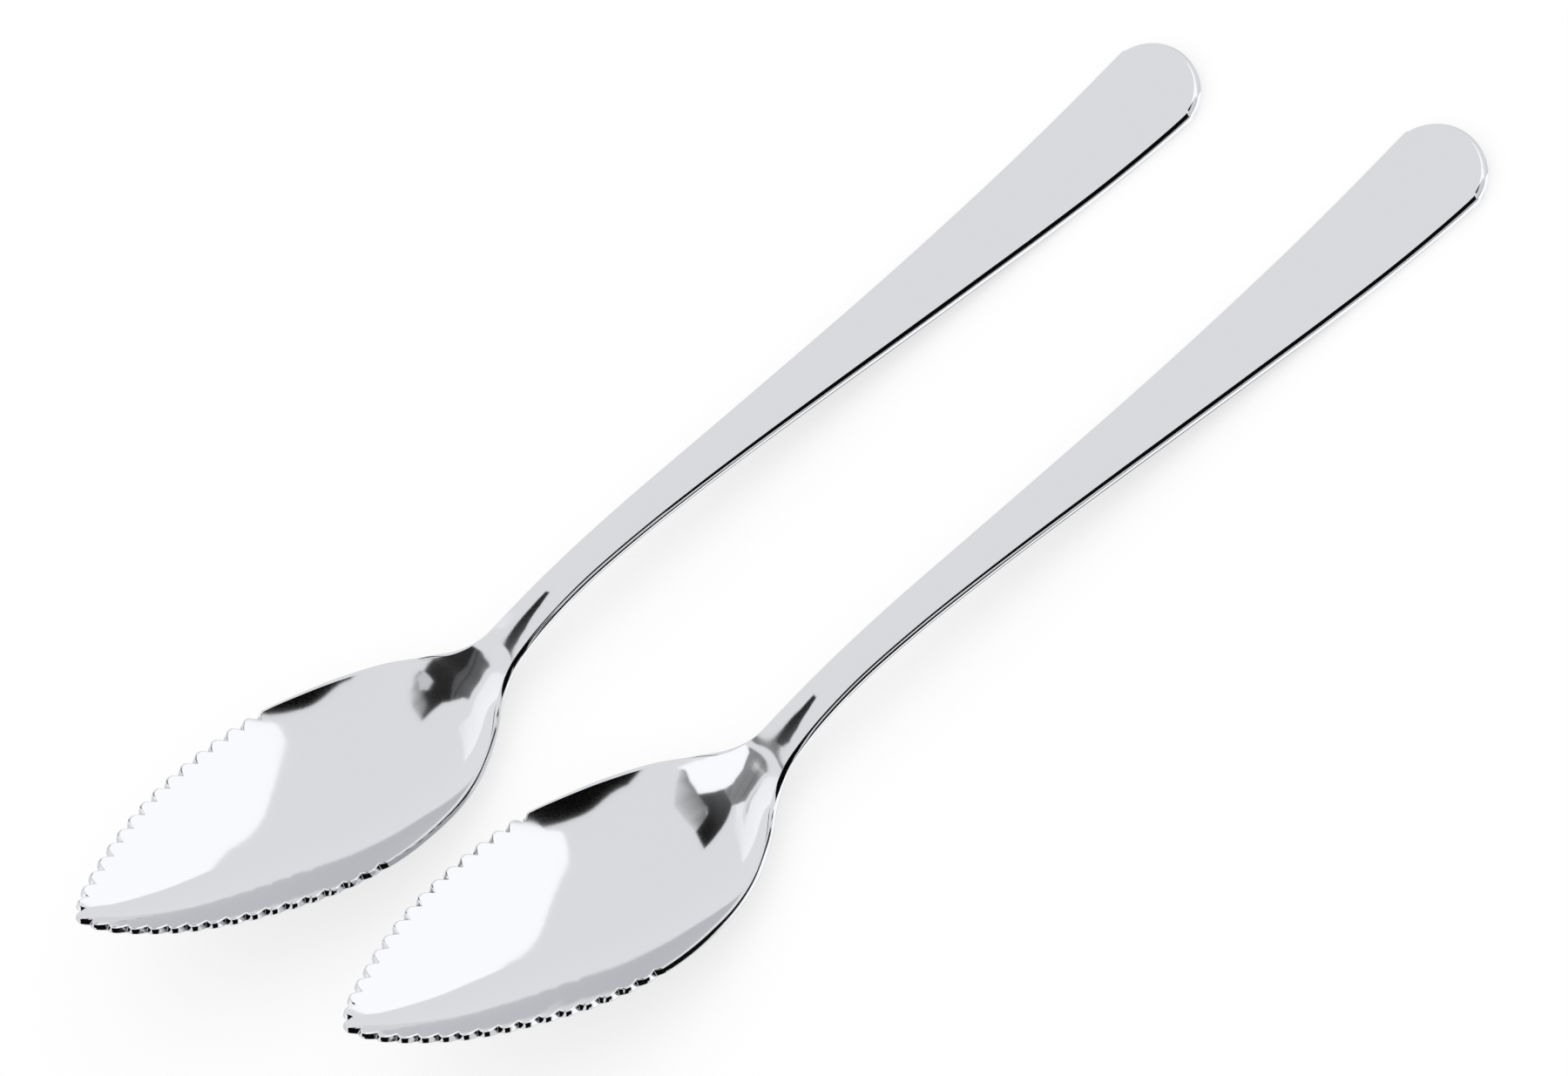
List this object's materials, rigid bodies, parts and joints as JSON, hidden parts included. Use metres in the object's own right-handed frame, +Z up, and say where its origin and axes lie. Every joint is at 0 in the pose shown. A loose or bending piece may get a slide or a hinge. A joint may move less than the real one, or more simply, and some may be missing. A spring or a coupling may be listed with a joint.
{
  "type": "grapefruit spoon pair",
  "caption": "Pair of polished steel grapefruit spoons: pointed shallow bowls with serrated front rims, arched flat handles with rounded ends.",
  "frame": {"origin": "the point of the table under the middle of the pair's box", "axes": "+X runs along the spoons from the bowls' tips to the handles' ends, +Y from the front spoon to the rear one, +Z up"},
  "size_m": [0.1984, 0.0808, 0.0201],
  "materials": {
    "steel": "mirror polished stainless steel"
  },
  "bodies": {
    "rear_spoon": {"rear_spoon": "steel"},
    "front_spoon": {"front_spoon": "steel"}
  },
  "joints": [
    {"name": "front_spoon_lift", "type": "slide", "parent": "rear_spoon", "child": "front_spoon", "axis": [0, 0, 1], "range_m": [0, 0.06]}
  ]
}
